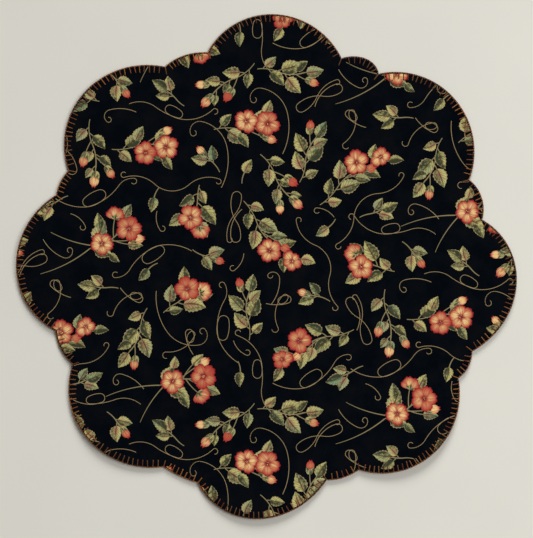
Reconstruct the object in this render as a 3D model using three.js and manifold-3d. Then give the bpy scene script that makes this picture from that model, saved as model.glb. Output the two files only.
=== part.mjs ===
// A scalloped penny rug for a table, lying flat with its printed cotton side up.
// The cloth is one sheet with eight wide scallops and a narrow one between each pair, its rim curled a little.
// A blanket stitch in heavy thread holds the rim: a purl along the edge, and a leg over the cloth at each stitch.
// Millimetres, +Z up, +Y towards the top scallop. The origin is the middle of the underside.

import * as THREE from 'three';
import { mergeVertices } from 'three/addons/utils/BufferGeometryUtils.js';
import Module from 'manifold-3d';

const wasm = await Module();
wasm.setup();

// Cloth
const CLOTH_THICKNESS = 2.4;
const RIM_ROUNDING = 0.5;
const INNER_RINGS = [0.5, 0.72, 0.86, 0.94]; // shares of the way from the middle to the needle line

// How the mat lies: its middle is a shade off the table, and it stands on three of its narrow scallops.
const MIDDLE_RISE = 0.4;
const FLAT_RADIUS = 100; // inside this the underside is one flat face
const STANDS_ON = [17.6, 111, 247]; // bearings in degrees
const STAND_SPREAD = 60; // from each of them to where the rim is level with the middle, in degrees
const STAND_RADIUS = 178;
const CURL_START = 145; // inside this nothing has curled
const CURL_RADIUS = 190; // the curls' heights are measured here

// Blanket stitch
const STITCH_PITCH = 4.05;
const PURL_WIDTH = 0.9;
const PURL_BASE = 0.7; // over the underside of the cloth
const PURL_STANDS_PROUD = 0.15; // over the legs
const LEG_WIDTH = 0.9;
const LEG_HEIGHT = 0.7; // the thread flattens a little where it lies on the cloth
const LEG_REACH = 6.0; // from the outer edge to the needle hole
const REACH_UNEVEN = 0.5;
const SLANT_UNEVEN = THREE.MathUtils.degToRad(6);
const CLEARANCE = 0.33; // between thread and cloth

// One row for each scallop, counter-clockwise from the right.
// corner, radius: the notch where it starts, as a bearing in degrees and a distance from the middle.
// rise: how far its arc bulges over the line between its two notches.
// lean: how far the bulge leans to the next notch, for each mm of rise.
const SCALLOPS = [
  { corner: 12.2, radius: 176.7, rise: 5.1, lean: 0 },
  { corner: 23.1, radius: 176.6, rise: 33.0, lean: 0.01 },
  { corner: 59.8, radius: 178.5, rise: 7.1, lean: -0.28 },
  { corner: 70.2, radius: 177.2, rise: 32.6, lean: 0.03 },
  { corner: 105.5, radius: 178.0, rise: 3.6, lean: 0.24 },
  { corner: 117.0, radius: 179.5, rise: 33.1, lean: 0.04 },
  { corner: 154.3, radius: 176.6, rise: 1.7, lean: 0 },
  { corner: 161.3, radius: 178.2, rise: 31.5, lean: 0.05 },
  { corner: 197.1, radius: 177.3, rise: 2.8, lean: 0 },
  { corner: 206.8, radius: 174.6, rise: 30.3, lean: -0.05 },
  { corner: 242.8, radius: 181.0, rise: 1.2, lean: 0 },
  { corner: 252.3, radius: 182.4, rise: 29.6, lean: -0.11 },
  { corner: 285.6, radius: 178.1, rise: 2.2, lean: 0 },
  { corner: 294.3, radius: 179.1, rise: 30.4, lean: -0.03 },
  { corner: 329.7, radius: 177.9, rise: 2.9, lean: -0.23 },
  { corner: 337.5, radius: 178.4, rise: 31.1, lean: 0.09 },
];

// How far each wide scallop has curled off the table. bearing: its middle. spread: half its width, both in degrees.
const CURLS = [
  { bearing: 42, height: 0.6, spread: 12 },
  { bearing: 89, height: 0.7, spread: 13 },
  { bearing: 136, height: 1.0, spread: 12 },
  { bearing: 178, height: 1.8, spread: 13 },
  { bearing: 224, height: 2.4, spread: 14 },
  { bearing: 268, height: 2.1, spread: 12 },
  { bearing: 311, height: 2.8, spread: 14 },
  { bearing: 356, height: 1.0, spread: 12 },
];

// Insets from the outer edge
const clothEdge = PURL_WIDTH + CLEARANCE;
const needleLine = LEG_REACH + REACH_UNEVEN + 0.4;

function notchPoint({ corner, radius }) {
  return new THREE.Vector2(radius, 0).rotateAround(new THREE.Vector2(), THREE.MathUtils.degToRad(corner));
}

// One point for each stitch of a scallop, along an arc of a circle, without the notch where the next one starts.
function scallopPoints(scallop, next) {
  const start = notchPoint(scallop);
  const along = notchPoint(next).sub(start);
  const chord = along.length();
  along.normalize();
  const outwards = new THREE.Vector2(along.y, -along.x);
  const halfAngle = 2 * Math.atan((2 * scallop.rise) / chord);
  const arcRadius = chord / 2 / Math.sin(halfAngle);
  const pairs = Math.round((arcRadius * halfAngle) / STITCH_PITCH);
  return Array.from({ length: 2 * pairs }, (_, i) => {
    const turn = halfAngle * (i / pairs - 1);
    const bulge = arcRadius * (Math.cos(turn) - Math.cos(halfAngle));
    const step = chord / 2 + arcRadius * Math.sin(turn) + scallop.lean * bulge;
    return start.clone().addScaledVector(along, step).addScaledVector(outwards, bulge);
  });
}

// The outer edge of the purl, with the middle of its width and length at the origin.
function outlinePoints() {
  const points = SCALLOPS.flatMap((row, i) => scallopPoints(row, SCALLOPS[(i + 1) % SCALLOPS.length]));
  const middle = new THREE.Box2().setFromPoints(points).getCenter(new THREE.Vector2());
  return points.map((point) => point.sub(middle));
}

// At each outline point, the way into the cloth: its direction, and its length for 1 mm of inset.
function inwardSteps(points) {
  return points.map((point, i) => {
    const before = point.clone().sub(points.at(i - 1)).normalize();
    const after = points[(i + 1) % points.length].clone().sub(point).normalize();
    const along = before.clone().add(after).normalize();
    return new THREE.Vector2(-along.y, along.x).divideScalar(along.dot(after));
  });
}

const outline = outlinePoints();
const inwards = inwardSteps(outline);
const everyPoint = outline.map((_, i) => i);
const everySecondPoint = everyPoint.filter((i) => i % 2 === 0);

// A body that follows the outline, turned on a lathe from its section and then drawn to the outline.
// Each row of the section has a share of the way from the middle, an inset from the outer edge and a height.
function followOutline(section, columns) {
  const profile = section.map(({ share, height }) => new THREE.Vector2(share, height));
  const geometry = new THREE.LatheGeometry(profile, columns.length);
  const position = geometry.getAttribute('position');
  for (let v = 0; v < position.count; v += 1) {
    const { share, inset, height } = section[v % section.length];
    const column = columns[Math.floor(v / section.length) % columns.length];
    const flat = outline[column].clone().addScaledVector(inwards[column], inset).multiplyScalar(share);
    position.setXYZ(v, flat.x, flat.y, height);
  }
  return geometry;
}

// How far a point of the mat is off the table.
function liftAt(flat) {
  const { euclideanModulo, radToDeg, smoothstep } = THREE.MathUtils;
  const awayFrom = (bearing) => Math.abs(euclideanModulo(radToDeg(flat.angle()) - bearing + 180, 360) - 180);
  const sag = Math.max(0, ...STANDS_ON.map((bearing) => 1 - awayFrom(bearing) / STAND_SPREAD));
  const curl = CURLS.reduce(
    (sum, { bearing, height, spread }) => sum + height * Math.exp(-((awayFrom(bearing) / spread) ** 2)),
    0,
  );
  const middle = MIDDLE_RISE * (1 - sag * smoothstep(flat.length(), FLAT_RADIUS, STAND_RADIUS));
  return middle + curl * smoothstep(flat.length(), CURL_START, CURL_RADIUS);
}

function layOnTable(geometry) {
  const position = geometry.getAttribute('position');
  for (let v = 0; v < position.count; v += 1) {
    const flat = new THREE.Vector2(position.getX(v), position.getY(v));
    position.setZ(v, position.getZ(v) + liftAt(flat));
  }
  geometry.computeVertexNormals();
  return geometry;
}

function makeCloth() {
  const side = (height) => INNER_RINGS.map((share) => ({ share, inset: needleLine, height }));
  const section = [
    { share: 0, inset: needleLine, height: 0 },
    ...side(0),
    { share: 1, inset: clothEdge + RIM_ROUNDING, height: 0 },
    { share: 1, inset: clothEdge, height: RIM_ROUNDING },
    { share: 1, inset: clothEdge, height: CLOTH_THICKNESS - RIM_ROUNDING },
    { share: 1, inset: clothEdge + RIM_ROUNDING, height: CLOTH_THICKNESS },
    { share: 1, inset: needleLine, height: CLOTH_THICKNESS },
    ...side(CLOTH_THICKNESS).reverse(),
    { share: 0, inset: needleLine, height: CLOTH_THICKNESS },
  ];
  return layOnTable(followOutline(section, everySecondPoint));
}

const legBase = CLOTH_THICKNESS + CLEARANCE;
const purlTop = legBase + LEG_HEIGHT + PURL_STANDS_PROUD;

function makePurl() {
  const corners = [
    { inset: PURL_WIDTH, height: PURL_BASE },
    { inset: 0, height: PURL_BASE },
    { inset: 0, height: purlTop },
    { inset: PURL_WIDTH, height: purlTop },
    { inset: PURL_WIDTH, height: PURL_BASE },
  ];
  return followOutline(corners.map((corner) => ({ share: 1, ...corner })), everyPoint);
}

// A repeatable value from -1 to 1 for a stitch, because handwork is never even.
function uneven(stitch, salt) {
  const value = Math.sin(stitch * 12.9898 + salt * 78.233) * 43758.5453;
  return 2 * (value - Math.floor(value)) - 1;
}

// One leg, from inside the purl to its needle hole.
function makeLeg(stitch) {
  const start = PURL_WIDTH / 2;
  const length = LEG_REACH + REACH_UNEVEN * uneven(stitch, 1) - start;
  const geometry = new THREE.BoxGeometry(length, LEG_WIDTH, LEG_HEIGHT);
  geometry.translate(length / 2, 0, legBase + LEG_HEIGHT / 2);
  geometry.rotateZ(inwards[stitch].angle() + SLANT_UNEVEN * uneven(stitch, 2));
  const root = outline[stitch].clone().addScaledVector(inwards[stitch], start);
  return geometry.translate(root.x, root.y, 0);
}

function toSolid(geometry) {
  const bare = geometry.clone();
  bare.deleteAttribute('normal');
  bare.deleteAttribute('uv');
  const merged = mergeVertices(bare);
  const vertProperties = merged.getAttribute('position').array;
  return new wasm.Manifold(new wasm.Mesh({ numProp: 3, vertProperties, triVerts: merged.getIndex().array }));
}

function toGeometry(solid) {
  const { vertProperties, triVerts } = solid.getMesh();
  const geometry = new THREE.BufferGeometry();
  geometry.setAttribute('position', new THREE.BufferAttribute(vertProperties, 3));
  geometry.setIndex(new THREE.BufferAttribute(triVerts, 1));
  return geometry;
}

function makeBlanketStitch() {
  const thread = everyPoint.map(makeLeg).reduce((joined, leg) => joined.add(toSolid(leg)), toSolid(makePurl()));
  return layOnTable(toGeometry(thread));
}

// Black cotton with a coral and old-gold print
const printedCotton = new THREE.MeshStandardMaterial({ color: 0x0d1118, roughness: 0.9, metalness: 0 });

// Variegated embroidery thread, brown to old gold
const embroideryThread = new THREE.MeshStandardMaterial({ color: 0x8a5a2c, roughness: 0.6, metalness: 0 });

function piece(name, geometry, material) {
  const mesh = new THREE.Mesh(geometry, material);
  mesh.name = name;
  return mesh;
}

const pennyRug = new THREE.Group();
pennyRug.add(piece('printed_mat', makeCloth(), printedCotton));
pennyRug.add(piece('blanket_stitch', makeBlanketStitch(), embroideryThread));

// Set down so that its lowest point touches the table.
const lowest = new THREE.Box3().setFromObject(pennyRug).min.z;
pennyRug.children.forEach((mesh) => mesh.geometry.translate(0, 0, -lowest));

export default pennyRug;
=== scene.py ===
"""A scalloped penny rug for a table: printed cotton over felted wool, its rim held by a blanket stitch.

Sizes in the tables are millimetres and degrees. Places on the flat cloth are complex numbers, as multiplying
by one turns and scales. The cloth is lifted into the round only when its meshes are made.
"""

import cmath
import math
from functools import partial

import bpy
import numpy as np
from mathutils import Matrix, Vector
from mathutils.geometry import delaunay_2d_cdt
from mathutils.kdtree import KDTree


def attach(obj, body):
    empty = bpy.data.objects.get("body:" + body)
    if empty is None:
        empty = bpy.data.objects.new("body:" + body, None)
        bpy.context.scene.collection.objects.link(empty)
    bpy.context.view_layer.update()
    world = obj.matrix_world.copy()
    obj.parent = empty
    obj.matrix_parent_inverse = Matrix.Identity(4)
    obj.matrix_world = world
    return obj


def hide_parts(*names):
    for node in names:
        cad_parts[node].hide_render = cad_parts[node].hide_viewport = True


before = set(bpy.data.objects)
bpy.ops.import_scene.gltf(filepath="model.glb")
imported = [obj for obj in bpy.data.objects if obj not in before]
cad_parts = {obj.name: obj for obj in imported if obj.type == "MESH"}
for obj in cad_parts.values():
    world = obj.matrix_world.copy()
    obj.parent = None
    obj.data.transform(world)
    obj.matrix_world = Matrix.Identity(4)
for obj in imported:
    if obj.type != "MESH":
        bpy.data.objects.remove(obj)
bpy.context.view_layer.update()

bl_info = {
    "name": "Penny Rug",
    "version": (1, 0, 0),
    "blender": (4, 5, 0),
    "location": "3D View > Sidebar > Penny Rug",
    "description": "Dresses a scalloped penny rug in printed cotton and blanket stitch",
    "category": "Add Mesh",
}

MM = 0.001

# The cloth's outline and how it lies

# A row for each scallop, counter-clockwise from the right: the bearing and radius of its first notch, how
# far its arc bulges over the line between its two notches, and how far the bulge leans for each mm of rise
SCALLOPS = (
    (12.2, 176.7, 5.1, 0),
    (23.1, 176.6, 33.0, 0.01),
    (59.8, 178.5, 7.1, -0.28),
    (70.2, 177.2, 32.6, 0.03),
    (105.5, 178.0, 3.6, 0.24),
    (117.0, 179.5, 33.1, 0.04),
    (154.3, 176.6, 1.7, 0),
    (161.3, 178.2, 31.5, 0.05),
    (197.1, 177.3, 2.8, 0),
    (206.8, 174.6, 30.3, -0.05),
    (242.8, 181.0, 1.2, 0),
    (252.3, 182.4, 29.6, -0.11),
    (285.6, 178.1, 2.2, 0),
    (294.3, 179.1, 30.4, -0.03),
    (329.7, 177.9, 2.9, -0.23),
    (337.5, 178.4, 31.1, 0.09),
)

# How far each wide scallop has curled off the table: its bearing, the height, and half its width in degrees
CURLS = (
    (42, 0.6, 12),
    (89, 0.7, 13),
    (136, 1.0, 12),
    (178, 1.8, 13),
    (224, 2.4, 14),
    (268, 2.1, 12),
    (311, 2.8, 14),
    (356, 1.0, 12),
)
MIDDLE_RISE = 0.4
FLAT_RADIUS = 100
STANDS_ON = (17.6, 111, 247)  # bearings of the three narrow scallops that touch the table
STAND_SPREAD = 60
STAND_RADIUS = 178
CURL_START = 145
CURL_RADIUS = 190

# The blanket stitch
STITCH_PITCH = 4.05
LEG_START = 0.45  # inside the purl
LEG_REACH = 6.0  # from the outer edge to the needle hole
REACH_UNEVEN = 0.5
SLANT_UNEVEN = math.radians(6)
PER_STITCH = 4  # points of the fine outline for each stitch

# The cloth's section, as insets from the rim's outer edge and heights over the underside
CLOTH_EDGE = 1.0
TOP_EDGE = 1.7  # where the rounding of the rim starts
WALL = ((1.18, 2.26), (1.0, 1.95), (1.0, 1.3), (1.06, 0.8), (1.7, 0.45))
PUCKER_RINGS = (1.95, 2.3, 2.8, 3.4, 4.1, 4.9, 5.7, 6.5, 7.3, 8.2)
PUCKER_HALF_WIDTH = 0.62
PUCKER_DEPTH = 0.36
PUCKER_SWELL = 0.1  # between two grooves
PUCKER_FLOOR = 1.2  # no groove shows on the rim's wall below this height
PUCKER_REACH = (6.2, 8.0)  # the grooves under the legs fade out between these insets
UNDER_LIFT = 0.45  # the stitches have pressed the felt in on the underside
UNDER_REACH = (6.8, 9.5)
CLOTH_THICKNESS = 2.4

# The meshes of the cloth's two sides: a grid of places each, and on the underside some sparse rings
GRID_HALF = 200
GRID_REACH = 215
GRID_GAP = 2  # from the innermost ring to the grid
TOP_STEP = 5
UNDER_STEP = 12
UNDER_GRID_REACH = 164
UNDER_RINGS = (3.6, 6.8, 8.2, 9.5)
UNDER_SKIP = 6  # outline points from one point of a ring to the next

# The thread's middle line, as steps from where a leg leaves the purl, or past its needle hole, and heights
LEG_OVER_EDGE = ((0.01, 1.55), (0.1, 2.08), (0.4, 2.42), (0.85, 2.52))
LEG_INTO_HOLE = ((-0.35, 2.46), (-0.08, 2.22), (0.04, 1.8))
LEG_HEIGHT = 2.54
LEG_UNDER_EDGE = ((0.02, 1.6), (0.05, 1.0), (0.4, 0.48), (1.0, 0.3))
LEG_OUT_OF_HOLE = ((-0.35, 0.32), (0.02, 0.8))
UNDER_LEG_HEIGHT = 0.28
PURL_INSET = 0.6
PURL_HEIGHT = 1.95
PURL_PULL = 0.09
PURL_RINGS = 10  # for each stitch
PURL_SIDES = 8
LEG_SIDES = 6
LEG_RINGS = 6  # between the rings at the edge and those at the needle hole
UNDER_LEG_RINGS = 4
UNDER_LEG_FLAT = 0.55  # a leg's height on the underside as a share of its height on top
PLY_DEPTH = 0.16

# The bake's maps: the width of cloth on its map, how much of its height the rim's wall keeps there, the
# underside's smaller island in a corner, and on the thread's map, the purl's rings on a strip and its margin
MAP_WIDTH = 408
WALL_SHARE = 0.8
UNDER_SHARE = 0.12
UNDER_PLACE = 0.435 - 0.435j
STRIP_RINGS = 40
STRIP_MARGIN = 0.05

# The patterns in the finishes, by the size of one patch, thread or fibre
WEAVE_PITCH = 0.75
LEAF_MOTTLE = 2.4
LEAF_DRIFT = 36
STAMENS = 0.66
RUBBED_PATCH = 18
FELT_FIBRES = 1.1
SLOW_DYE = 55
QUICK_DYE = 11
BOARD_MOTTLE = 110

WINDOW_SPREAD = math.radians(24)  # how wide the window looks from the mat

# The print's shapes, each over an axis from 0 to 1: half a width at each place, as shares of the length
PETAL = (
    (0.0, 0.04),
    (0.15, 0.18),
    (0.33, 0.31),
    (0.5, 0.39),
    (0.63, 0.43),
    (0.76, 0.43),
    (0.86, 0.36),
    (0.87, 0.29),
    (0.97, 0.24),
    (1.0, 0.15),
    (0.97, 0.07),
    (0.9, 0.0),
)
BUD = (
    (0.0, 0.1),
    (0.15, 0.24),
    (0.36, 0.33),
    (0.56, 0.33),
    (0.72, 0.27),
    (0.82, 0.16),
    (1.0, 0.1),
    (0.86, 0.0),
)
EYE_SHARE = 0.13  # the radius of a bloom's eye as a share of the bloom's
TURNED = 0.28  # how much narrower a bloom is when it's turned aside
LEAF_TEETH = 6
TOOTH = 0.2  # a tooth's height as a share of the leaf's half width
TOOTH_PLACES = (0.15, 0.8)  # the notch and the tip, as shares of the tooth's step
LEAF_SWELL = 0.62  # how blunt the leaf's base is, and below, how fine its tip
LEAF_TAPER = 1.1
LEAF_FULL = 3.07  # brings the widest place of that curve to the leaf's half width
GROUND, LEAF, PETALS, LINE, EYE = range(5)

# The printed lines: the longest step and turn of each, and their widths at the start and the end
LINE_STEP = 2.4
LINE_TURN = 18
TENDRIL_WIDTHS = (0.5, 0.44)
STEM_WIDTHS = (0.7, 1.1)
TWIG_WIDTHS = (1.0, 0.4)
STALK_WIDTHS = (0.9, 0.7)

# Sprigs: how many of each a repeat has, its stem as arcs of a length and a turn, and rows of what grows on
# it, how far along, at what turn from it, on how long a stalk, and its length or an open bloom's radius
SPRIGS = {
    "crossing": (
        2,
        ((10, 10), (14, -26)),
        ("twig", 0.0, 168, 0, 44),
        ("twig", 0.25, 206, 0, 38),
        ("leaf", 0.1, 64, 3, 15),
        ("leaf", 0.3, -72, 3, 18),
        ("leaf", 0.5, 96, 10, 10),
        ("leaf", 0.6, -110, 12, 13),
        ("leaf", 0.8, 62, 14, 12),
        ("bud", 0.7, 34, 19, 10.5),
        ("side", 0.9, -58, 15, 8.8),
        ("leaf", 1.0, -28, 15, 13),
        ("bloom", 0.45, -4, 1, 9.8),
        ("bloom", 1.0, 18, 12, 10.4),
    ),
    "arching": (
        3,
        ((20, 24), (24, -40), (16, 26)),
        ("leaf", 0.06, -50, 3, 11),
        ("leaf", 0.14, 58, 3, 13),
        ("leaf", 0.3, -55, 4, 17),
        ("leaf", 0.38, 52, 5, 15),
        ("bud", 0.5, -26, 17, 10),
        ("leaf", 0.56, -70, 5, 12),
        ("bloom", 0.6, 50, 9, 10.2),
        ("leaf", 0.74, -58, 3, 14),
        ("leaf", 0.88, 66, 5, 12),
        ("turned", 1.0, 0, 3, 9.8),
        ("leaf", 1.0, -62, 9, 12),
    ),
    "twin": (
        2,
        ((18, -26), (22, 38)),
        ("leaf", 0.1, 60, 3, 12),
        ("leaf", 0.22, -54, 4, 17),
        ("bloom", 0.5, 66, 9, 9.8),
        ("leaf", 0.44, -66, 5, 13),
        ("bud", 0.66, -34, 16, 10),
        ("leaf", 0.78, 74, 5, 12),
        ("leaf", 0.84, -70, 4, 13),
        ("bloom", 1.0, -10, 4, 10.4),
        ("leaf", 1.0, 64, 9, 12),
    ),
    "posy": (
        3,
        ((12, 14), (12, -24)),
        ("leaf", 0.1, 52, 3, 11),
        ("leaf", 0.3, -74, 4, 14),
        ("leaf", 0.55, 66, 5, 18),
        ("leaf", 0.9, -58, 10, 14),
        ("leaf", 0.9, 62, 10, 13),
        ("side", 0.7, 22, 17, 8.8),
        ("bloom", 1.0, -30, 4, 10.2),
    ),
    "leafy": (
        4,
        ((16, -30), (22, 40)),
        ("leaf", 0.1, 64, 3, 11),
        ("leaf", 0.24, -56, 3, 15),
        ("leaf", 0.42, 54, 4, 18),
        ("leaf", 0.56, -58, 4, 16),
        ("leaf", 0.74, 58, 4, 12),
        ("bud", 0.84, -40, 11, 9.5),
        ("leaf", 1.0, -14, 2, 14),
    ),
    "budding": (
        3,
        ((20, 36), (20, -30)),
        ("leaf", 0.14, -60, 3, 12),
        ("leaf", 0.3, 54, 4, 14),
        ("bud", 0.46, -52, 12, 10.5),
        ("leaf", 0.62, -64, 3, 10),
        ("leaf", 0.7, 60, 4, 12),
        ("bud", 0.8, 46, 13, 9.5),
        ("leaf", 0.94, -52, 4, 9),
        ("bud", 1.0, 0, 5, 11),
    ),
    "trio": (
        4,
        ((8, 20), (8, -14)),
        ("leaf", 0.7, -62, 3, 11),
        ("leaf", 0.85, 58, 3, 12),
        ("leaf", 1.0, 0, 3, 14),
    ),
    "pair": (
        4,
        ((14, -34),),
        ("leaf", 0.6, 60, 2, 12),
        ("leaf", 0.9, -44, 3, 13),
        ("bud", 1.0, 20, 5, 9),
    ),
    "single": (
        5,
        ((9, 30),),
        ("leaf", 1.0, 0, 0, 12),
    ),
}

# Loose tendrils: how many of each a repeat has, and its arcs. A long turn over a short length makes a narrow
# loop or a curled end.
TENDRILS = {
    "ribbon": (4, (26, 40), (16, 40), (11, 150), (14, 30), (10, 150), (30, 40), (14, -60), (9, -230)),
    "bow": (3, (26, -60), (11, -165), (14, -40), (22, 50), (11, 165), (16, 40), (22, -50), (8, -230)),
    "knot": (3, (9, 230), (26, -50), (14, -30), (10, -160), (10, -30), (8, -150), (20, -20), (22, 60)),
    "coil": (4, (18, -30), (8, -150), (8, -60), (7, -150), (7, -60), (6, -150), (28, -70), (9, 200)),
    "wave": (3, (9, -240), (26, 60), (30, -84), (26, 62), (8, 230)),
    "sweep": (3, (34, 40), (30, 66), (16, 120), (9, 220)),
    "hook": (4, (22, -40), (12, -130), (8, -230)),
    "crook": (5, (16, 50), (9, 240)),
}

REPEAT = (236, 272)
REPEAT_DROP = 136  # each column of repeats is this much lower than the one before
PRINT_REACH = 206  # nothing is printed further from the mat's middle
TRIALS = 400  # places tried for each motif
NEAR = 2.5  # the print crowds a motif when it's nearer than this
CELL = 2
SEED = 18


def linear(text):
    """Turns an sRGB hex colour to linear red, green and blue."""
    shares = [int(text[i : i + 2], 16) / 255 for i in (1, 3, 5)]
    return [share / 12.92 if share <= 0.04045 else ((share + 0.055) / 1.055) ** 2.4 for share in shares]


def colour(name, description, text):
    """A colour that the user can change."""
    return bpy.props.FloatVectorProperty(
        name=name, description=description, subtype="COLOR", size=3, min=0, max=1, default=linear(text)
    )


def measure(name, description, value, unit="NONE"):
    """A number that the user can change."""
    return bpy.props.FloatProperty(name=name, description=description, default=value, unit=unit)


class PrintColours(bpy.types.PropertyGroup):
    """The colours of the printed cotton"""

    ground: colour("Ground", "The black of the cotton's ground", "#010409")
    rubbed: colour("Rubbed ground", "The ground where it has faded a little", "#080A0E")
    coral: colour("Coral", "The body of the petals", "#A4352F")
    deep: colour("Deep red", "The petals' rims and throats", "#721A24")
    peach: colour("Peach", "The light in the middle of a petal", "#DCB87E")
    leaf_dark: colour("Leaf shade", "The shaded part of a leaf", "#2E3C2A")
    leaf_light: colour("Leaf light", "The lit part of a leaf", "#B8B372")
    leaf_cool: colour("Leaf grey", "The lit part of a cooler leaf", "#7E9975")
    leaf_brown: colour("Leaf brown", "The midribs and veins", "#4A3424")
    leaf_blush: colour("Leaf blush", "The flush at the base of a turning leaf", "#A26C58")
    gold: colour("Gold", "The leaves' toothed edges and the tendrils", "#9A8660")
    stem: colour("Stem", "The sprigs' stems", "#877B58")


class ThreadSettings(bpy.types.PropertyGroup):
    """The embroidery thread of the blanket stitch"""

    width: measure("Width", "The thread's width where it lies on the cloth", 0.85 * MM, "LENGTH")
    height: measure("Height", "The thread's height where it lies on the cloth", 0.8 * MM, "LENGTH")
    twist: measure("Twist", "The length of thread in one turn of its plies", 4.0 * MM, "LENGTH")
    gold: colour("Old gold", "The lightest part of the variegated thread", "#A0642A")
    brown: colour("Gold brown", "The middle of the variegated thread", "#6C4620")
    red: colour("Red brown", "The darkest part of the variegated thread", "#62290F")


class StageSettings(bpy.types.PropertyGroup):
    """The floor, the lights and the camera"""

    floor: colour("Floor", "The plain floor", "#D0CEC5")
    lens: measure("Lens", "The camera's focal length", 85, "CAMERA")
    distance: measure("Distance", "From the camera to the mat", 1.007, "LENGTH")
    window: measure("Window", "The strength of the soft light that comes over the top edge", 3.1)
    side_lamp: measure("Side lamp", "The power of the soft lamp at the right", 14, "POWER")
    fill: measure("Fill", "The strength of the light from all round", 0.26)


def rim_outline():
    """The rim's outer edge, counter-clockwise, with its box's middle at the origin."""
    corners = [cmath.rect(radius, math.radians(bearing)) for bearing, radius, _, _ in SCALLOPS]
    runs = []
    for start, end, (_, _, rise, lean) in zip(corners, corners[1:] + corners[:1], SCALLOPS):
        chord = abs(end - start)
        along = (end - start) / chord
        half_angle = 2 * math.atan(2 * rise / chord)
        arc_radius = chord / 2 / math.sin(half_angle)
        pairs = round(arc_radius * half_angle / STITCH_PITCH)
        turn = half_angle * (np.arange(2 * pairs * PER_STITCH) / (pairs * PER_STITCH) - 1)
        bulge = arc_radius * (np.cos(turn) - math.cos(half_angle))
        step = chord / 2 + arc_radius * np.sin(turn) + lean * bulge
        runs.append(start + along * (step - 1j * bulge))
    points = np.concatenate(runs)
    at_stitches = points[::PER_STITCH]
    middle = (at_stitches.real.min() + at_stitches.real.max()) / 2
    return points - middle - 0.5j * (at_stitches.imag.min() + at_stitches.imag.max())


def inward_steps(points):
    """At each outline point, the way into the cloth, as long as 1 mm of inset is there."""
    before = points - np.roll(points, 1)
    after = np.roll(points, -1) - points
    after = after / abs(after)
    along = before / abs(before) + after
    along = along / abs(along)
    return 1j * along / (along * after.conj()).real


outline = rim_outline()
inwards = inward_steps(outline)
stitch_count = len(outline) // PER_STITCH
nearest_rim = KDTree(len(outline))
for number, point in enumerate(outline):
    nearest_rim.insert((point.real, point.imag, 0), number)
nearest_rim.balance()


def smoothstep(value, low, high):
    """0 below low, 1 above high, and a smooth rise between."""
    share = np.clip((value - low) / (high - low), 0, 1)
    return share * share * (3 - 2 * share)


def lift_at(points):
    """How far places on the mat are off the table."""
    radius = abs(points)
    bearing = np.degrees(np.angle(points))

    def away_from(other):
        return abs((bearing - other + 180) % 360 - 180)

    sag = np.clip(np.max([1 - away_from(stand) / STAND_SPREAD for stand in STANDS_ON], axis=0), 0, None)
    curl = sum(height * np.exp(-((away_from(middle) / spread) ** 2)) for middle, height, spread in CURLS)
    middle = MIDDLE_RISE * (1 - sag * smoothstep(radius, FLAT_RADIUS, STAND_RADIUS))
    return middle + curl * smoothstep(radius, CURL_START, CURL_RADIUS)


# The mat is set down so that its lowest point touches the table.
set_down = lift_at((outline + inwards * TOP_EDGE)[:: 2 * PER_STITCH]).min()


def uneven(stitch, salt):
    """A repeatable value from -1 to 1 for a stitch, because handwork is never even."""
    value = np.sin(stitch * 12.9898 + salt * 78.233) * 43758.5453
    return 2 * (value - np.floor(value)) - 1


def rim_place(points):
    """For places on the cloth: how far round the rim they are, counted in stitches, and their inset."""
    order = np.array([nearest_rim.find((point.real, point.imag, 0))[1] for point in points])
    best = np.full(len(points), np.inf)
    stitch = np.zeros(len(points))
    for first in (order - 1, order):
        start = outline[first % len(outline)]
        side = outline[(first + 1) % len(outline)] - start
        share = np.clip(((points - start) * side.conj()).real / abs(side) ** 2, 0, 1)
        distance = abs(points - start - share * side)
        nearer = distance < best
        best = np.where(nearer, distance, best)
        stitch = np.where(nearer, (first + share) / PER_STITCH, stitch)
    return stitch % stitch_count, best


def groove_under_legs(stitch, inset):
    """How deep the legs press into the cloth, with a low swelling between them, in mm downwards."""
    leg = np.round(stitch) % stitch_count
    along = (stitch - np.round(stitch)) * STITCH_PITCH + inset * np.tan(SLANT_UNEVEN * uneven(leg, 2))
    groove = PUCKER_DEPTH * np.exp(-((along / PUCKER_HALF_WIDTH) ** 2))
    return (groove - PUCKER_SWELL) * (1 - smoothstep(inset, *PUCKER_REACH))


def in_the_round(points, heights):
    """Points in metres for places on the flat cloth, with their heights in mm over its underside there."""
    return np.stack([points.real, points.imag, heights + lift_at(points) - set_down], axis=-1) * MM


def smooth_side(table):
    """One side of a shape, as a smooth curve through a table's points and one between each two."""
    knots = np.array([complex(*row) for row in table])
    knots = np.concatenate([[knots[0]], knots, [knots[-1]]])
    t = np.array([0, 0.5])
    spans = [
        b + 0.5 * t * (c - a + t * (2 * a - 5 * b + 4 * c - d + t * (3 * (b - c) + d - a)))
        for a, b, c, d in zip(knots, knots[1:], knots[2:], knots[3:])
    ]
    return np.append(np.concatenate(spans), knots[-1])


PETAL_SIDE = smooth_side(PETAL)
BUD_SIDE = smooth_side(BUD)


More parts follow.
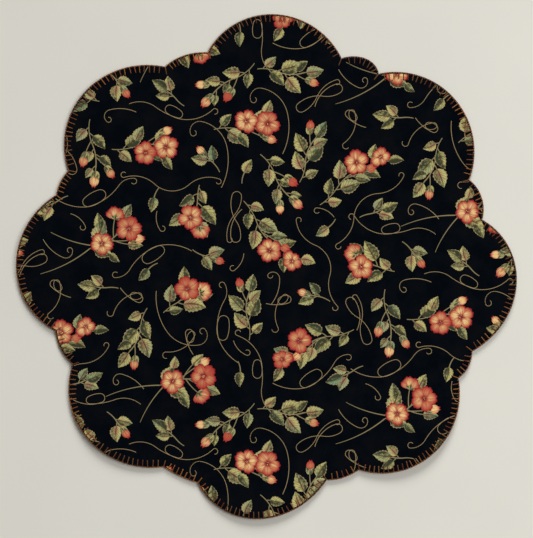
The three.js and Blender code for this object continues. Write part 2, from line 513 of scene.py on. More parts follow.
class Print:
    """The shapes printed on the cloth, in the order they are printed."""

    def __init__(self):
        self.shapes = []

    def add(self, shape, origin, axis, kind, tone):
        """Adds a shape that is given on its own axis, unless all of it is off the cloth."""
        placed = origin + axis * shape
        if abs(placed).min() <= PRINT_REACH:
            self.shapes.append((placed, origin, axis, kind, tone))

    def line(self, start, heading, arcs, widths, shade, hand):
        """Draws a line of arcs and returns its places and headings."""
        places = [start]
        headings = [heading]
        for length, turn in arcs:
            steps = max(2, math.ceil(length / LINE_STEP), math.ceil(abs(turn) / LINE_TURN))
            for _ in range(steps):
                heading += hand * turn / steps
                middle = math.radians(heading - hand * turn / steps / 2)
                places.append(places[-1] + cmath.rect(length / steps, middle))
                headings.append(heading)
        places = np.array(places)
        axes = np.exp(1j * np.radians(headings)) * np.linspace(*widths, len(places)) / 2
        right = places - 1j * axes
        left = places + 1j * axes
        for i, (place, axis) in enumerate(zip(places[:-1], axes)):
            quad = np.array([right[i], right[i + 1], left[i + 1], left[i]])
            self.add((quad - place) / axis, place, axis, LINE, (0, 1, shade))
        return places, headings

    def leaf(self, base, heading, length, bend, shade, width):
        """A toothed leaf with a curved midrib."""
        step = np.arange(LEAF_TEETH)[:, None] + TOOTH_PLACES
        u = (step / LEAF_TEETH).ravel()
        tooth = np.tile([0.0, TOOTH * width], LEAF_TEETH) * np.sqrt(1 - u)
        v = LEAF_FULL * width * u**LEAF_SWELL * (1 - u) ** LEAF_TAPER + tooth
        middle = 4 * bend * u * (1 - u)
        side = np.concatenate([[0], u + 1j * (middle - v), [1], (u + 1j * (middle + v))[::-1]])
        self.add(side, base, cmath.rect(length, math.radians(heading)), LEAF, (bend, width, shade))

    def petal(self, base, heading, length, half, shade, spread=1.0):
        """One petal or bud, from a half outline."""
        lower = half.real - 1j * half.imag * spread
        upper = half.real + 1j * half.imag * spread
        shape = np.concatenate([lower, upper[-2::-1]])
        self.add(shape, base, cmath.rect(length, math.radians(heading)), PETALS, (0, spread, shade))

    def eye(self, middle, radius):
        """The stamens in the middle of a bloom."""
        ring = np.exp(2j * math.pi * np.arange(10) / 10)
        self.add(ring, middle, complex(radius), EYE, (0, 1, 0))

    def bloom(self, middle, heading, radius, shade, squash=0.0):
        """An open bloom of five petals, seen from the front or a little turned."""
        for k in range(5):
            turn = heading + 36 + 72 * k + 5 * uneven(k + 9 * shade, 3)
            away = math.sin(math.radians(turn - heading))
            length = radius * (1 - squash * abs(away)) * (1 + 0.05 * uneven(k + 7 * shade, 4))
            self.petal(middle, turn, length, PETAL_SIDE, 0.6 * shade + 0.4 * (0.37 * k % 1))
        self.eye(middle, radius * EYE_SHARE)

    def side_bloom(self, base, heading, radius, shade):
        """A bloom seen from the side, in its sepals."""
        for k, (turn, length) in enumerate(((-62, 0.95), (58, 1.0), (-22, 1.1), (20, 1.15))):
            tint = 0.6 * shade + 0.4 * (0.29 * k % 1)
            self.petal(base, heading + turn, radius * length, PETAL_SIDE, tint, 0.82)
        for turn in (-70, 66, 0):
            self.leaf(base, heading + turn, radius * 0.5, 0, 0.3, 0.24)

    def bud(self, base, heading, length, shade):
        """A closed bud in its sepals."""
        self.petal(base, heading, length, BUD_SIDE, shade)
        back = cmath.rect(-0.25 * length, math.radians(heading))
        for turn, size in ((-28, 0.66), (26, 0.7), (0, 0.5)):
            self.leaf(base + back, heading + turn, length * size, 0.06, 0.5, 0.22)

    def motif(self, name, start, heading, hand, shade):
        """A tendril, or a stem with all that grows on it: lines, then leaves, then the flowers on top."""
        if name in TENDRILS:
            self.line(start, heading, TENDRILS[name][1:], TENDRIL_WIDTHS, 0.0, hand)
            return
        _, stem, *parts = SPRIGS[name]
        places, headings = self.line(start, heading, stem, STEM_WIDTHS, shade, hand)
        ends = []
        for i, (what, along, turn, stalk, size) in enumerate(parts):
            at = round(along * (len(places) - 1))
            way = headings[at] + hand * turn
            length, bend = (size, 24) if what == "twig" else (stalk, -0.35 * turn)
            tips = [places[at]], [way]
            if length:
                widths = TWIG_WIDTHS if what == "twig" else STALK_WIDTHS
                tips = self.line(places[at], way, [(length, bend)], widths, shade, hand)
            ends.append((what, tips[0][-1], tips[1][-1], size, (shade + 0.31 * i) % 1))
        for what, place, way, size, tint in sorted(ends, key=lambda end: end[0] != "leaf"):
            if what == "leaf":
                self.leaf(place, way, size, hand * 0.09 * (1 - 2 * tint), tint, 0.28 + 0.06 * tint)
            elif what == "bud":
                self.bud(place, way, size, tint)
            elif what == "side":
                self.side_bloom(place, way, size, tint)
            elif what in ("bloom", "turned"):
                self.bloom(place, way, size, tint, TURNED if what == "turned" else 0.0)


def footprint(name):
    """The middles and radii of the shapes that a motif is drawn with."""
    alone = Print()
    alone.motif(name, 0j, 0, 1, 0.5)
    outlines = [row[0] for row in alone.shapes]
    middles = [shape.mean() for shape in outlines]
    return np.array(middles), np.array([abs(shape - shape.mean()).max() for shape in outlines])


def into_repeat(places, nearest=np.floor):
    """The same places in the first repeat, or with np.round, the shortest way to them from its corner."""
    wide, tall = REPEAT
    places = places - nearest(places.real / wide) * complex(wide, -REPEAT_DROP)
    return places - 1j * tall * nearest(places.imag / tall)


def lay_out_repeat():
    """Lays one repeat's motifs, each one where it's the least crowded of all the places and turns tried."""
    chance = np.random.default_rng(SEED)
    wide, tall = REPEAT
    cells = np.arange(0, wide, CELL)[:, None] + 1j * np.arange(0, tall, CELL)[None, :]
    room = np.full(cells.shape, float(wide))
    laid = []
    for name, (count, *_) in (SPRIGS | TENDRILS).items():
        middles, radii = footprint(name)
        for _ in range(count):
            starts = wide * chance.random(TRIALS) + 1j * tall * chance.random(TRIALS)
            turns = 360 * chance.random(TRIALS)
            hands = chance.choice((-1, 1), TRIALS)
            own = np.where(hands[:, None] > 0, middles, middles.conj())
            spots = into_repeat(starts[:, None] + own * np.exp(1j * np.radians(turns))[:, None])
            free = room[(spots.real // CELL).astype(int), (spots.imag // CELL).astype(int)]
            best = np.exp((radii - free) / NEAR).sum(axis=1).argmin()
            laid.append((name, starts[best], turns[best], hands[best], chance.random()))
            for spot, radius in zip(spots[best], radii):
                room = np.minimum(room, abs(into_repeat(cells - spot, np.round)) - radius)
    return laid


def lay_out_print():
    """Repeats the print over the whole cloth, the tendrils under the sprigs."""
    printed = Print()
    wide, tall = REPEAT
    laid = sorted(lay_out_repeat(), key=lambda row: row[0] in SPRIGS)
    for name, start, heading, hand, shade in laid:
        for column in range(-2, 3):
            for row in range(-3, 4):
                place = start + complex(column * wide, row * tall - column * REPEAT_DROP)
                if abs(place) < PRINT_REACH + wide / 2:
                    printed.motif(name, place, heading, hand, shade)
    return printed


def triangulate(points, faces):
    """Splits the first outline into triangles along the others, and gives each one's last outline."""
    vectors = [Vector((point.real, point.imag)) for point in points]
    found = delaunay_2d_cdt(vectors, [], faces, 1, 1e-4, True)
    inside = np.array([0 in over for over in found[5]])
    last = np.array([max(over, default=0) for over in found[5]])
    places = np.array([complex(*place) for place in found[0]])
    used, triangles = np.unique(np.array(found[2])[inside], return_inverse=True)
    return places[used], triangles.reshape(-1, 3), last[inside]


def counter_clockwise(numbers, points):
    """The numbers of an outline's points, turned round if they run clockwise."""
    ring = points[numbers]
    area = (ring.conj() * np.roll(ring, -1)).imag.sum()
    return list(numbers) if area > 0 else list(numbers[::-1])


def boundary_loop(triangles):
    """The corners round the one open edge of a sheet of triangles, in order."""
    starts = triangles.ravel()
    ends = np.roll(triangles, -1, axis=1).ravel()
    both = set(zip(starts.tolist(), ends.tolist()))
    following = {start: end for start, end in both if (end, start) not in both}
    first = min(following)
    loop = [first]
    while following[loop[-1]] != first:
        loop.append(following[loop[-1]])
    if len(loop) != len(following):
        raise RuntimeError("the cloth's edge is not one loop")
    return np.array(loop)


def loose_points(step, radius):
    """A square grid of places out to a radius."""
    line = np.arange(-GRID_HALF, GRID_HALF + 1, step)
    grid = (line[:, None] + 1j * line).ravel()
    return grid[abs(grid) < radius]


def printed_side():
    """The cloth's flat upper side: its places and triangles, and each corner's place and tone in the print."""
    edge = outline + inwards * TOP_EDGE
    ground = (edge, 0, 1, GROUND, (0.0, 1.0, 0.0))
    outlines, *print_columns = zip(ground, *lay_out_print().shapes)
    rings = [outline + inwards * inset for inset in PUCKER_RINGS]
    grid = loose_points(TOP_STEP, GRID_REACH)
    stitch, inset = rim_place(grid)
    inside = abs(grid) < abs(outline[(stitch * PER_STITCH).astype(int) % len(outline)])
    loose = np.concatenate([*rings, grid[inside & (inset > PUCKER_RINGS[-1] + GRID_GAP)]])
    points = np.concatenate([edge, loose, *outlines[1:]])
    faces = [list(range(len(edge)))]
    first = len(edge) + len(loose)
    for ring in outlines[1:]:
        faces.append(counter_clockwise(np.arange(first, first + len(ring)), points))
        first += len(ring)
    places, triangles, top = triangulate(points, faces)
    origins, axes, kinds, tones = [np.array(column)[top][:, None] for column in print_columns]
    inside_shape = (places[triangles] - origins) / axes
    kind = np.broadcast_to(kinds, triangles.shape)
    place = np.stack([inside_shape.real, inside_shape.imag, kind], axis=-1)
    return places, triangles, place, np.broadcast_to(tones, (*triangles.shape, 3))


def felt_side(loop_places):
    """The cloth's underside, flat: its places, of which the first are the loop's own, and its triangles."""
    rings = [(outline + inwards * inset)[::UNDER_SKIP] for inset in UNDER_RINGS]
    points = np.concatenate([loop_places, *rings, loose_points(UNDER_STEP, UNDER_GRID_REACH)])
    places, triangles, _ = triangulate(points, [list(range(len(loop_places)))])
    if abs(places[: len(loop_places)] - loop_places).max() > 1e-3:
        raise RuntimeError("the underside's edge doesn't match the wall")
    return places, triangles


def new_piece(name, points, faces, body):
    """A piece of the model made from points in metres, which rides on a body."""
    mesh = bpy.data.meshes.new(name)
    mesh.from_pydata(points, [], faces)
    mesh.shade_smooth()
    piece = bpy.data.objects.new(name, mesh)
    bpy.context.collection.objects.link(piece)
    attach(piece, body)
    return piece


def corner_values(mesh, name, values):
    """Keeps three values for each face corner of a mesh."""
    layer = mesh.attributes.new(name, "FLOAT_VECTOR", "CORNER")
    layer.data.foreach_set("vector", np.ascontiguousarray(values, dtype=np.float32).ravel())


def bake_map(mesh, values):
    """Gives a mesh the map named OFBake, for baking its finish on."""
    layer = mesh.uv_layers.new(name="OFBake", do_init=False)
    layer.uv.foreach_set("vector", np.ascontiguousarray(values, dtype=np.float32).ravel())


def strip_between(upper, lower):
    """The corners of the quads between two rows that close on themselves."""
    return np.stack([upper, lower, np.roll(lower, -1), np.roll(upper, -1)], axis=-1)


def make_cloth(colours):
    """The mat's printed cotton and felted wool as one closed sheet, drawn in by its stitches."""
    places, triangles, place, tone = printed_side()
    loop = boundary_loop(triangles)
    stitch, inset = rim_place(places)
    groove = groove_under_legs(stitch, inset)
    layers = [in_the_round(places, CLOTH_THICKNESS - groove)]
    edge = places[loop]
    way_in = np.array([inwards[int(at * PER_STITCH) % len(inwards)] for at in stitch[loop]])
    rows = [loop]
    map_rows = [edge / MAP_WIDTH]
    down = 0.0
    for above, (row_inset, height) in zip(((TOP_EDGE, CLOTH_THICKNESS), *WALL), WALL):
        row = edge + way_in * (row_inset - TOP_EDGE)
        share = np.clip((height - PUCKER_FLOOR) / (CLOTH_THICKNESS - PUCKER_FLOOR), 0, 1)
        layers.append(in_the_round(row, height - groove[loop] * share))
        rows.append(len(places) + (len(rows) - 1) * len(loop) + np.arange(len(loop)))
        down += math.dist(above, (row_inset, height))
        map_rows.append((edge - way_in * down * WALL_SHARE) / MAP_WIDTH)
    under_places, under_triangles = felt_side(edge)
    _, under_inset = rim_place(under_places)
    pressed = UNDER_LIFT * (1 - smoothstep(under_inset, *UNDER_REACH))
    layers.append(in_the_round(under_places, pressed)[len(edge) :])
    renumbered = np.concatenate([rows[-1], rows[-1][-1] + 1 + np.arange(len(under_places) - len(edge))])
    underside = renumbered[under_triangles[:, ::-1]]
    wall = np.concatenate([strip_between(*pair) for pair in zip(rows, rows[1:])])
    wall_map = [strip_between(*pair) for pair in zip(map_rows, map_rows[1:])]
    faces = triangles.tolist() + wall.tolist() + underside.tolist()
    cloth = new_piece("printed_cloth", np.concatenate(layers), faces, "root")
    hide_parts("printed_mat")

    plain = 4 * len(wall) + 3 * len(underside)
    ends = np.tile([0.0, 0.0, GROUND], (plain, 1))
    corner_values(cloth.data, "place", np.concatenate([place.reshape(-1, 3), ends]))
    corner_values(cloth.data, "tone", np.concatenate([tone.reshape(-1, 3), ends]))
    under_map = (under_places / MAP_WIDTH * UNDER_SHARE)[under_triangles[:, ::-1]] + UNDER_PLACE
    top_map = (places / MAP_WIDTH)[triangles]
    on_map = np.concatenate([part.ravel() for part in (top_map, *wall_map, under_map)])
    bake_map(cloth.data, np.stack([0.5 + on_map.real, 0.5 + on_map.imag], axis=-1))
    felt = np.arange(len(faces)) >= len(triangles) + 2 * len(loop)
    cloth.data.materials.append(finish("printed quilting cotton", printed_cotton, colours))
    cloth.data.materials.append(finish("felted wool", felted_wool, colours))
    cloth.data.polygons.foreach_set("material_index", felt.astype(np.int32))

    cut = outline + inwards * CLOTH_EDGE
    area = (cut.conj() * np.roll(cut, -1)).imag.sum() / 2
    return cloth


def twisted_thread(paths, across, sides, settings, flat, round_rim):
    """Two-ply threads along paths, with the way across each: points, faces and what their corners carry.

    The paths close where the thread goes round the whole rim. Each corner gets how far along the thread it
    is, its share of the way round it, how far round the rim it is, and its strip and place on the map.
    """
    count, rings, _ = paths.shape
    along = np.gradient(paths, axis=1)
    along /= np.linalg.norm(along, axis=2, keepdims=True)
    over = np.cross(along, across)
    steps = np.linalg.norm(np.diff(paths, axis=1), axis=2)
    length = np.concatenate([np.zeros((count, 1)), np.cumsum(steps, axis=1)], axis=1)
    twist = settings.twist / MM
    if round_rim:
        twist = length[0, -1] / round(length[0, -1] / twist)
    side = np.arange(sides)
    angle = 2 * math.pi * (side / sides + length[:, :, None] / twist)
    lobe = 1 + PLY_DEPTH * np.cos(4 * math.pi * side / sides)
    wide = settings.width / MM / 2 * lobe * np.cos(angle)
    high = settings.height / MM / 2 * flat * lobe * np.sin(angle)
    points = paths[:, :, None] + across[:, :, None] * wide[..., None] + over[:, :, None] * high[..., None]
    thread, ring, corner = np.meshgrid(np.arange(count), np.arange(rings - 1), side, indexing="ij")
    thread = thread[..., None] + np.zeros(4, dtype=int)
    ring = ring[..., None] + np.array([0, 0, 1, 1])
    corner = corner[..., None] + np.array([0, 1, 1, 0])
    far = length[thread, ring]
    if round_rim:
        points = points[:, :-1]
        strip = ring[..., :1] // STRIP_RINGS + 0 * ring
        strip_place = (ring - strip * STRIP_RINGS) / STRIP_RINGS
        rim = far
    else:
        strip = thread
        strip_place = ring / (rings - 1)
        rim = thread * STITCH_PITCH
    numbers = (thread * rings + ring) * sides + corner % sides
    faces = (numbers % (points.shape[0] * points.shape[1] * sides)).reshape(-1, 4).tolist()
    corners = [np.stack([far, corner / sides, rim, strip, strip_place], axis=-1).reshape(-1, 5)]
    if not round_rim:
        starts = np.arange(count)[:, None] * rings * sides
        faces += (starts + side[::-1]).tolist() + (starts + (rings - 1) * sides + side).tolist()
        owner = np.tile(np.repeat(np.arange(count), sides), 2)
        corners.append(owner[:, None] * np.array([0, 0, STITCH_PITCH, 1, 0]))
    return points.reshape(-1, 3), faces, np.concatenate(corners)


def leg_paths(start_rows, end_rows, middle_rings, height):
    """The middle lines of one side's legs, from the purl to the needle holes, with the way across each."""
    number = np.arange(stitch_count)
    way_in = inwards[::PER_STITCH]
    base = outline[::PER_STITCH] + way_in * LEG_START
    heading = way_in / abs(way_in) * np.exp(1j * SLANT_UNEVEN * uneven(number, 2))
    reach = (LEG_REACH + REACH_UNEVEN * uneven(number, 1) - LEG_START)[:, None]
    start = np.array(start_rows)
    end = np.array(end_rows)
    share = np.linspace(0, 1, middle_rings + 2)[1:-1]
    first = start[-1, 0]
    middle = first + share * (reach + end[0, 0] - first)
    steps = np.concatenate([np.tile(start[:, 0], (stitch_count, 1)), middle, reach + end[:, 0]], axis=1)
    heights = np.concatenate([start[:, 1], np.full(middle_rings, height), end[:, 1]])
    path = in_the_round(base[:, None] + heading[:, None] * steps, heights) / MM
    side = np.stack([-heading.imag, heading.real, np.zeros(stitch_count)], axis=-1)
    return path, np.broadcast_to(side[:, None], path.shape)


def purl_path():
    """The purl's middle line round the rim, drawn in and up at each leg, with the way across it."""
    ring = np.arange(stitch_count * PURL_RINGS + 1) / PURL_RINGS
    fine = np.arange(len(outline) + 1) / PER_STITCH
    edge = np.interp(ring, fine, np.append(outline, outline[0]))
    step_in = np.interp(ring, fine, np.append(inwards, inwards[0]))
    pull = PURL_PULL * np.cos(2 * math.pi * ring)
    path = in_the_round(edge + step_in * (PURL_INSET + pull), PURL_HEIGHT + pull) / MM
    out = step_in / -abs(step_in)
    across = np.stack([out.real, out.imag, np.zeros(len(ring))], axis=-1)
    return path[None], across[None]


def make_stitching(settings):
    """The blanket stitch: a purl along the rim, and at each stitch a leg over the cloth and one under."""
    over = leg_paths(LEG_OVER_EDGE, LEG_INTO_HOLE, LEG_RINGS, LEG_HEIGHT)
    under = leg_paths(LEG_UNDER_EDGE, LEG_OUT_OF_HOLE, UNDER_LEG_RINGS, UNDER_LEG_HEIGHT)
    points = []
    faces = []
    corners = []
    first = 0
    strips = 0
    for (paths, across), sides, flat, round_rim in (
        (over, LEG_SIDES, 1.0, False),
        (under, LEG_SIDES, UNDER_LEG_FLAT, False),
        (purl_path(), PURL_SIDES, 1.0, True),
    ):
        places, quads, carried = twisted_thread(paths, across, sides, settings, flat, round_rim)
        points.append(places * MM)
        faces += [[number + first for number in face] for face in quads]
        first += len(places)
        carried[:, 3] += strips
        strips = carried[:, 3].max() + 1
        corners.append(carried)
    stitching = new_piece("blanket_stitching", np.concatenate(points), faces, "root")
    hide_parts("blanket_stitch")
    corners = np.concatenate(corners)
    corner_values(stitching.data, "strand", corners[:, :3])
    columns = math.ceil(math.sqrt(strips))
    cell = np.stack([corners[:, 3] % columns, corners[:, 3] // columns], axis=-1)
    on_strip = STRIP_MARGIN + (1 - 2 * STRIP_MARGIN) * corners[:, [4, 1]]
    bake_map(stitching.data, (cell + on_strip) / columns)
    stitching.data.materials.append(finish("variegated pearl cotton", variegated_thread, settings))
    return stitching


def add_node(tree, kind, inputs=(), operation=None, **settings):
    """Adds a node with its settings, and its inputs in order or by name. A node among them is linked."""
    node = tree.nodes.new("ShaderNode" + kind)
    if kind == "Mix":
        node.data_type = "RGBA"
    if operation:
        node.operation = operation
    for name, value in settings.items():
        setattr(node, name, value)
    sockets = [socket for socket in node.inputs if socket.enabled]
    if isinstance(inputs, dict):
        sockets = [node.inputs[name] for name in inputs]
        inputs = inputs.values()
    for socket, value in zip(sockets, inputs):
        if isinstance(value, bpy.types.Node):
            value = next(output for output in value.outputs if output.enabled)
        if isinstance(value, bpy.types.NodeSocket):
            tree.links.new(value, socket)
        elif isinstance(socket, bpy.types.NodeSocketColor):
            socket.default_value = (*value, 1)
        else:
            socket.default_value = value
    return node


def finish(name, painter, settings):
    """A material whose shader a painter makes, with a function that adds to the material's own nodes."""
    material = bpy.data.materials.new(name)
    material.use_nodes = True
    material.node_tree.nodes.clear()
    add = partial(add_node, material.node_tree)
    add("OutputMaterial", (painter(add, settings),))
    return material


def leaf_paint(add, colours, cloth, place, tone):
    """A toothed leaf: one side lit, a flush at a turning one's base, brown ribs and a light margin."""
    u, v, _ = place
    bend, width, shade = tone
    # t is how far a place is from the midrib to the edge, on the same curve as the leaf's outline.
    rest = add("Math", (1.0, u), "SUBTRACT")
    hump = add("Math", (u, rest), "MULTIPLY")
    bow = add("Math", (hump, bend), "MULTIPLY")
    aside = add("Math", (bow, -4.0, v), "MULTIPLY_ADD")
    half = add("Math", (u, LEAF_SWELL), "POWER")
    for factor in (add("Math", (rest, LEAF_TAPER), "POWER"), width, LEAF_FULL):
        half = add("Math", (half, factor), "MULTIPLY")
    side = add("Math", (aside, half), "DIVIDE")
    t = add("Math", (side,), "ABSOLUTE")

    lit = add("MapRange", (side, -0.5, 0.6, -0.4, 0.4))
    blotches = add("TexNoise", (cloth, 1 / (LEAF_MOTTLE * MM), 3.0))
    mottled = add("Math", (blotches, 2.2, lit), "MULTIPLY_ADD")
    lightness = add("Math", (shade, 0.7, mottled), "MULTIPLY_ADD")
    bright = add("MapRange", (lightness, 0.95, 1.95))
    drift = add("TexNoise", (cloth, 1 / (LEAF_DRIFT * MM), 3.0))
    coolness = add("MapRange", (drift, 0.47, 0.66))
    lit_side = add("Mix", (coolness, colours.leaf_light, colours.leaf_cool))
    blade = add("Mix", (bright, colours.leaf_dark, lit_side))

    turning = add("MapRange", (shade, 0.4, 0.9, 0.0, 0.85))
    low = add("MapRange", (u, 0.3, 0.8, 1.0, 0.0))
    inner = add("MapRange", (t, 0.2, 0.75, 1.0, 0.0))
    within = add("Math", (low, inner), "MULTIPLY")
    flush = add("Math", (within, turning), "MULTIPLY")

    ranks = add("Math", (u, 7.0), "MULTIPLY")
    slant = add("Math", (t, -2.0, ranks), "MULTIPLY_ADD")
    fold = add("Math", (slant, 0.5), "PINGPONG")
    vein = add("MapRange", (fold, 0.0, 0.22, 0.7, 0.0))
    midrib = add("MapRange", (t, 0.04, 0.18, 0.95, 0.0))
    ribs = add("Math", (vein, midrib), "MAXIMUM")
    margin = add("MapRange", (t, 0.88, 0.97, 0.0, 0.9))
    for share, paint in ((flush, colours.leaf_blush), (ribs, colours.leaf_brown), (margin, colours.gold)):
        blade = add("Mix", (share, blade, paint))
    return blade


def petal_paint(add, colours, place, shade):
    """A petal or bud: light in its middle, with streaks from the throat, a red rim and a deep throat."""
    u, v, _ = place
    on_petal = add("CombineXYZ", (u, v))
    # A circle of radius 1 once it is stretched over the petal, from behind its middle to its rim
    middle, reach, half_width = 0.48, 0.52, 0.56
    stretch = (1 / reach, 1 / half_width, 0)
    spread = add("VectorMath", (on_petal, stretch, (-middle / reach, 0, 0)), "MULTIPLY_ADD")
    from_middle = add("VectorMath", (spread,), "LENGTH").outputs["Value"]
    own = add("CombineXYZ", (u, v, shade))
    squeezed = add("VectorMath", (own, (1.6, 11.0, 23.0)), "MULTIPLY")
    streaks = add("TexNoise", (squeezed, 1.0, 2.0))
    glow = add("MapRange", (from_middle, 0.18, 0.82, 1.0, 0.0))
    streaked = add("MapRange", (streaks, 0.35, 0.6, 0.3, 1.0))
    how_pale = add("MapRange", (shade, 0.0, 1.0, 0.1, 1.8))
    light = add("Math", (glow, streaked), "MULTIPLY")
    paleness = add("Math", (light, how_pale), "MULTIPLY", use_clamp=True)
    rim = add("MapRange", (from_middle, 0.74, 1.0, 0.0, 0.95))
    throat = add("MapRange", (u, 0.08, 0.32, 0.95, 0.0))
    petal = colours.coral
    for share, paint in ((rim, colours.deep), (paleness, colours.peach), (throat, colours.deep)):
        petal = add("Mix", (share, petal, paint))
    return petal


def printed_cotton(add, colours):
    """Plain-woven quilting cotton, printed by machine: dull, with a fine weave and soft painted flowers."""
    corners = (add("Attribute", attribute_name=name).outputs["Vector"] for name in ("place", "tone"))
    place, tone = (add("SeparateXYZ", (corner,)).outputs for corner in corners)
    cloth = add("TexCoord").outputs["Object"]
    _, v, kind = place
    shade = tone[2]

    # A stem or tendril is rounded by a darker line at each side. Only a sprig's lines have a shade.
    out = add("Math", (v,), "ABSOLUTE")
    on_sprig = add("Math", (shade, 0.05), "GREATER_THAN")
    stroke = add("Mix", (on_sprig, colours.gold, colours.stem))
    shadow = add("MapRange", (out, 0.35, 1.1, 0.0, 0.7))
    drawn = add("Mix", (shadow, stroke, colours.ground))

    # A bloom's eye has stamens as light specks on deep red.
    specks = add("TexNoise", (cloth, 1 / (STAMENS * MM), 0.0))
    speckled = add("MapRange", (specks, 0.56, 0.7))
    eye = add("Mix", (speckled, colours.deep, colours.peach))

    # The black ground is a little rubbed and faded in soft patches.
    handled = add("TexNoise", (cloth, 1 / (RUBBED_PATCH * MM), 6.0, 0.65))
    wear = add("MapRange", (handled, 0.4, 0.7))
    printed = add("Mix", (wear, colours.ground, colours.rubbed))
    leaf = leaf_paint(add, colours, cloth, place, tone)
    petal = petal_paint(add, colours, place, shade)
    for number, shape in ((LEAF, leaf), (PETALS, petal), (LINE, drawn), (EYE, eye)):
        here = add("Math", (kind, float(number), 0.1), "COMPARE")
        printed = add("Mix", (here, printed, shape))

    # The weave: real cotton has about 27 threads to the centimetre, and these are twice as coarse, to show.
    turns = add("VectorMath", {"Vector": cloth, "Scale": math.pi / (WEAVE_PITCH * MM)}, "SCALE")
    across, down, _ = add("SeparateXYZ", (turns,)).outputs
    warp = add("Math", (across,), "SINE")
    weft = add("Math", (down,), "SINE")
    crossing = add("Math", (warp, weft), "MULTIPLY")
    # The print is painted darker in the weave's hollows and lighter on its crossings, on the same relief as
    # the bump: painted shade and painted light
    weave_painted_light_and_shade = add("MapRange", (crossing, -1.0, 1.0, 0.86, 1.08))
    woven = add("VectorMath", {"Vector": printed, "Scale": weave_painted_light_and_shade}, "SCALE")
    relief = add("Bump", {"Strength": 0.35, "Distance": 0.08 * MM, "Height": crossing})
    surface = {"Base Color": woven, "Roughness": 0.9, "Specular IOR Level": 0.03, "Normal": relief}
    return add("BsdfPrincipled", surface)


def felted_wool(add, colours):
    """Felted wool behind the cotton: matted fibres with no weave, the same black as the cotton's ground."""
    cloth = add("TexCoord").outputs["Object"]
    matted = add("TexNoise", (cloth, 1 / (FELT_FIBRES * MM), 4.0, 0.7))
    # The wool is drawn lighter where its matted fibres stand higher in the bump, and darker in the hollows
    # between them
    faded = add("MapRange", (matted, 0.35, 0.75, 1.2, 4.0))
    wool = add("VectorMath", {"Vector": tuple(colours.ground), "Scale": faded}, "SCALE")
    relief = add("Bump", {"Strength": 0.6, "Distance": 0.3 * MM, "Height": matted})
    surface = {"Base Color": wool, "Roughness": 0.95, "Specular IOR Level": 0.1}
    return add("BsdfPrincipled", surface | {"Sheen Weight": 0.12, "Normal": relief})


def variegated_thread(add, settings):
    """Twisted cotton embroidery thread, dyed in slow changes of colour, with painted light and painted shade
    on its plies and a soft silky sheen.
    """
    strand = add("Attribute", attribute_name="strand").outputs["Vector"]
    far, around, rim = add("SeparateXYZ", (strand,)).outputs
    slow = add("Math", (rim, 1 / SLOW_DYE), "MULTIPLY")
    quick = add("Math", (rim, 1 / QUICK_DYE, 40.0), "MULTIPLY_ADD")
    dye = add("TexNoise", (slow, 1.0, 0.0), noise_dimensions="1D")
    change = add("TexNoise", (quick, 1.0, 1.0), noise_dimensions="1D")
    goldness = add("MapRange", (dye, 0.38, 0.66))
    redness = add("MapRange", (change, 0.4, 0.66))
    warm = add("Mix", (goldness, settings.brown, settings.gold))
    dyed = add("Mix", (redness, warm, settings.red))
    # Painted light on the crest of each of the two plies, and painted shade between them, over the dye
    plies = add("Math", (around, 4 * math.pi), "MULTIPLY")
    crest = add("Math", (plies,), "COSINE")
    shaded = add("MapRange", (crest, -1.0, 1.0, 0.5, 1.1))
    dyed_with_painted_ply_shade = add("VectorMath", {"Vector": dyed, "Scale": shaded}, "SCALE")
    lie = add("Math", (around, 28 * math.pi, far), "MULTIPLY_ADD")
    fibres = add("Math", (lie,), "SINE")
    relief = add("Bump", {"Strength": 0.4, "Distance": 0.05 * MM, "Height": fibres})
    surface = {"Base Color": dyed_with_painted_ply_shade, "Roughness": 0.6, "Specular IOR Level": 0.2}
    return add("BsdfPrincipled", surface | {"Sheen Weight": 0.05, "Normal": relief})


def painted_board(add, settings):
    """Matt painted board: the plain floor, with a faint unevenness and no shine."""
    floor = add("TexCoord").outputs["Object"]
    mottle = add("TexNoise", (floor, 1 / (BOARD_MOTTLE * MM), 2.0))
    faint = add("MapRange", (mottle, 0.3, 0.7, 0.985, 1.015))
    paint = add("VectorMath", {"Vector": tuple(settings.floor), "Scale": faint}, "SCALE")
    return add("BsdfPrincipled", {"Base Color": paint, "Roughness": 0.9, "Specular IOR Level": 0.15})


class PENNYRUG_OT_cloth(bpy.types.Operator):
    """Makes the printed cloth as one sheet, in place of the plain mat"""

    bl_idname = "pennyrug.cloth"
    bl_label = "Printed Cloth"

    def execute(self, context):
        make_cloth(context.scene.penny_rug_print)
        return {"FINISHED"}


class PENNYRUG_OT_stitching(bpy.types.Operator):
    """Makes the blanket stitch of twisted thread, in place of the plain comb"""

    bl_idname = "pennyrug.stitching"
    bl_label = "Blanket Stitch"

    def execute(self, context):
        make_stitching(context.scene.penny_rug_thread)
        return {"FINISHED"}


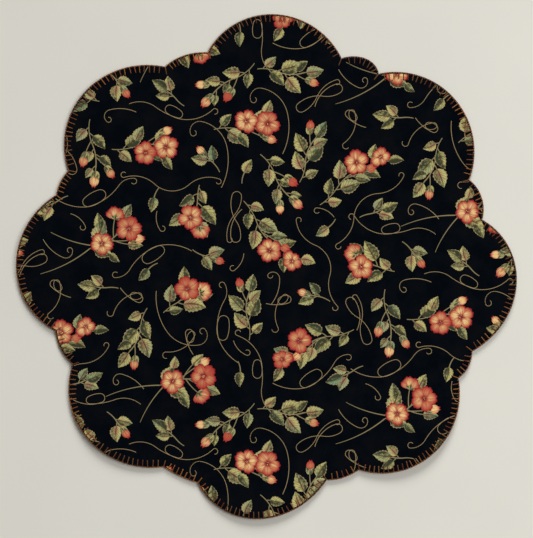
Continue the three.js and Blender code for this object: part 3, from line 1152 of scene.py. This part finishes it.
class PENNYRUG_OT_stage(bpy.types.Operator):
    """Makes the pale floor, the soft lights and the camera over the mat"""

    bl_idname = "pennyrug.stage"
    bl_label = "Stage"

    def execute(self, context):
        settings = context.scene.penny_rug_stage
        bpy.ops.object.select_all(action="DESELECT")
        bpy.ops.mesh.primitive_plane_add(size=4)
        floor = context.object
        floor.name = "floor"
        floor.data.materials.append(finish("matt painted board", painted_board, settings))

        window = {"energy": settings.window, "angle": WINDOW_SPREAD}
        side_lamp = {"energy": settings.side_lamp, "shape": "DISK", "size": 1}
        for name, kind, place, light in (
            ("window", "SUN", (0.1, 2.3, 1.15), window),
            ("side lamp", "AREA", (0.9, 0.1, 1.4), side_lamp),
        ):
            turn = Vector(place).to_track_quat("Z", "Y").to_euler()
            bpy.ops.object.light_add(type=kind, location=place, rotation=turn)
            context.object.name = name
            for setting, value in light.items():
                setattr(context.object.data, setting, value)

        world = bpy.data.worlds.new("soft studio light")
        world.use_nodes = True
        backdrop = world.node_tree.nodes["Background"]
        backdrop.inputs["Color"].default_value = (1, 0.985, 0.955, 1)
        backdrop.inputs["Strength"].default_value = settings.fill
        context.scene.world = world

        height = CLOTH_THICKNESS * MM + settings.distance
        bpy.ops.object.camera_add(location=(0, -0.002, height), rotation=(0, 0, 0))
        camera = context.object
        camera.name = "camera"
        camera.data.sensor_fit = "HORIZONTAL"
        camera.data.sensor_width = 36
        camera.data.lens = settings.lens
        context.scene.camera = camera
        context.scene.view_settings.view_transform = "Standard"
        return {"FINISHED"}


class PENNYRUG_PT_panel(bpy.types.Panel):
    """The rug's settings and the pieces it is made of"""

    bl_idname = "PENNYRUG_PT_panel"
    bl_label = "Penny Rug"
    bl_space_type = "VIEW_3D"
    bl_region_type = "UI"
    bl_category = "Penny Rug"

    def draw(self, context):
        for operator, group in zip(OPERATORS, GROUPS):
            box = self.layout.box()
            box.operator(operator.bl_idname)
            settings = getattr(context.scene, group)
            for name in settings.bl_rna.properties.keys():
                if name not in ("rna_type", "name"):
                    box.prop(settings, name)


GROUPS = {
    "penny_rug_print": PrintColours,
    "penny_rug_thread": ThreadSettings,
    "penny_rug_stage": StageSettings,
}
OPERATORS = (PENNYRUG_OT_cloth, PENNYRUG_OT_stitching, PENNYRUG_OT_stage)
CLASSES = (*GROUPS.values(), *OPERATORS, PENNYRUG_PT_panel)


def register():
    for cls in CLASSES:
        bpy.utils.register_class(cls)
    for name, group in GROUPS.items():
        setattr(bpy.types.Scene, name, bpy.props.PointerProperty(type=group))


def unregister():
    for name in GROUPS:
        delattr(bpy.types.Scene, name)
    for cls in reversed(CLASSES):
        bpy.utils.unregister_class(cls)


def main():
    register()
    bpy.ops.pennyrug.cloth()
    bpy.ops.pennyrug.stitching()
    bpy.ops.pennyrug.stage()


if __name__ == "__main__":
    main()
